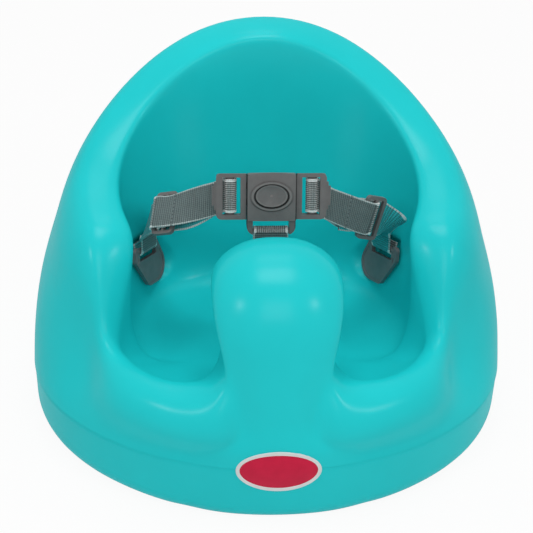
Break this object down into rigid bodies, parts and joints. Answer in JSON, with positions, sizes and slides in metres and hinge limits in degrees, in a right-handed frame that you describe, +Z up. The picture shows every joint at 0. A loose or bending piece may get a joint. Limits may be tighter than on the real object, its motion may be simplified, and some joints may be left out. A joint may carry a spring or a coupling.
{
  "type": "baby floor seat",
  "caption": "One-piece moulded foam floor seat with a high back, armrests and a central pommel, and a three-point webbing harness with a push-button buckle.",
  "frame": {"origin": "on the floor under the middle of the seat's outline", "axes": "+Z up, -Y the way the sitter faces, +X to the right as seen from in front of the seat"},
  "size_m": [0.352, 0.3379, 0.2498],
  "materials": {
    "foam": "satin skin of self-skinning polyurethane foam, teal",
    "badge_white": "soft white rim",
    "badge_red": "smooth red field, blank",
    "slate_plastic": "dark slate moulded plastic",
    "grey_plastic": "satin grey acetal",
    "webbing": "woven polypropylene webbing, grey-teal with pale edges",
    "steel": "bright wire and rod"
  },
  "bodies": {
    "seat": {"seat_shell": "foam", "badge_bezel": "badge_white", "badge_plate": "badge_red", "left_anchor_plate": "slate_plastic", "right_anchor_plate": "slate_plastic", "crotch_strap_rod": "steel", "crotch_strap": "webbing"},
    "belt": {"buckle_front_shell": "grey_plastic", "buckle_back_shell": "grey_plastic", "button_spring": "steel", "left_waist_strap": "webbing", "right_waist_strap": "webbing"},
    "button": {"release_button": "grey_plastic"},
    "left_tongue": {"left_tongue": "grey_plastic"},
    "right_tongue": {"right_tongue": "grey_plastic"},
    "left_adjuster": {"left_adjuster": "grey_plastic"},
    "right_adjuster": {"right_adjuster": "grey_plastic"}
  },
  "joints": [
    {"name": "belt_swing", "type": "hinge", "parent": "seat", "child": "belt", "pos_m": [0, 0.04172, 0.096], "axis": [-1, 0, 0], "range_deg": [-8, 16], "deforming": ["crotch_strap"]},
    {"name": "button_press", "type": "slide", "parent": "belt", "child": "button", "axis": [0, 0.9659, -0.2588], "range_m": [0, 0.002], "stiffness_N_per_m": 600, "springref_m": -0.001, "deforming": ["button_spring"]},
    {"name": "left_tongue_slide", "type": "slide", "parent": "belt", "child": "left_tongue", "axis": [-1, 0, 0], "range_m": [0, 0.014], "deforming": ["left_waist_strap"]},
    {"name": "right_tongue_slide", "type": "slide", "parent": "belt", "child": "right_tongue", "axis": [1, 0, 0], "range_m": [0, 0.014], "deforming": ["right_waist_strap"]},
    {"name": "left_adjuster_slide", "type": "slide", "parent": "belt", "child": "left_adjuster", "axis": [0.8579, -0.315, 0.406], "range_m": [0, 0.012], "deforming": ["left_waist_strap"]},
    {"name": "right_adjuster_slide", "type": "slide", "parent": "belt", "child": "right_adjuster", "axis": [-0.8018, -0.3594, 0.4775], "range_m": [0, 0.012], "deforming": ["right_waist_strap"]}
  ]
}
